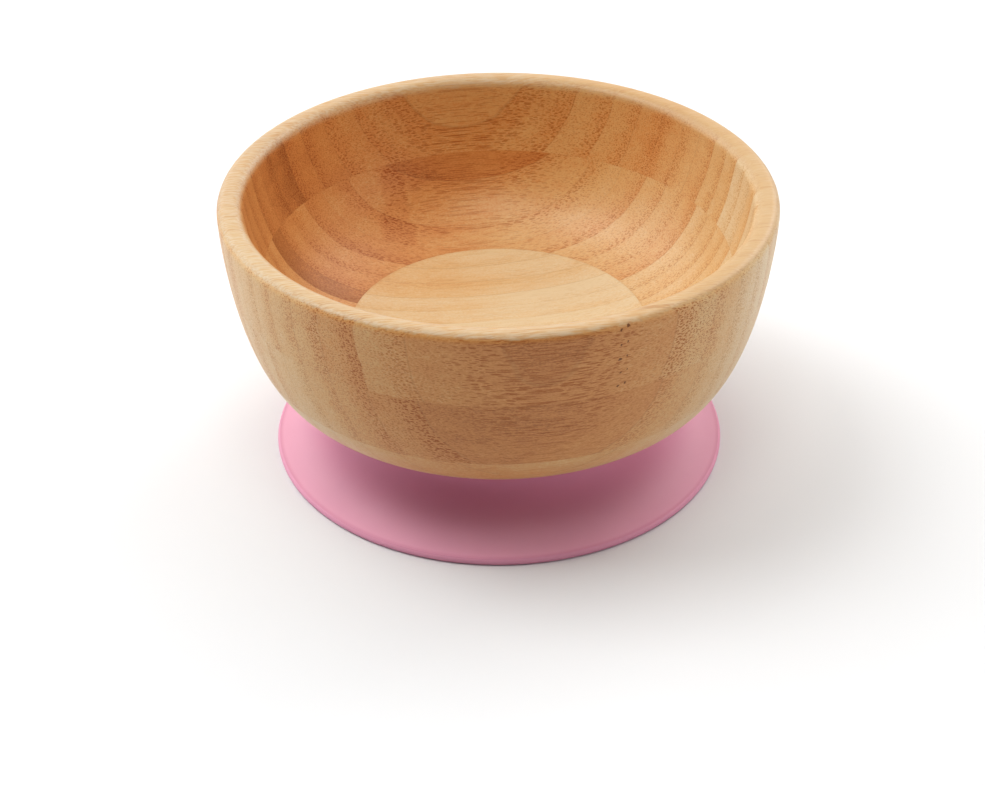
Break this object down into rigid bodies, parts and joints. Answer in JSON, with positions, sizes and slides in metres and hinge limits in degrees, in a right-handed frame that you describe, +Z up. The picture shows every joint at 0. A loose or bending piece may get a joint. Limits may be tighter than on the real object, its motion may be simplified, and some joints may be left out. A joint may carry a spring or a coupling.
{
  "type": "suction bowl",
  "caption": "Round feeding bowl turned from laminated bamboo, held by its foot in a soft silicone suction base that grips the table.",
  "frame": {"origin": "on the table plane, on the axis that the bowl is turned around", "axes": "+Z up along the turning axis, -Y towards the side that faces the viewer"},
  "size_m": [0.1272, 0.1272, 0.0663],
  "materials": {
    "rim_bamboo": "oiled bamboo, satin, strips on edge",
    "middle_bamboo": "oiled bamboo, satin, strips on edge",
    "base_bamboo": "oiled bamboo, satin, strips on edge",
    "pink_silicone": "matte moulded silicone"
  },
  "bodies": {
    "suction_base": {"suction_skirt": "pink_silicone"},
    "grip": {"grip_collar": "pink_silicone"},
    "bowl": {"rim_board": "rim_bamboo", "middle_board": "middle_bamboo", "base_board": "base_bamboo"}
  },
  "joints": [
    {"name": "press_down", "type": "slide", "parent": "suction_base", "child": "grip", "axis": [0, 0, 1], "range_m": [-0.0035, 0], "stiffness_N_per_m": 4000, "springref_m": 0.001, "deforming": ["suction_skirt"]},
    {"name": "lift_off", "type": "slide", "parent": "grip", "child": "bowl", "axis": [0, 0, 1], "range_m": [0, 0.04], "deforming": ["grip_collar"]}
  ]
}
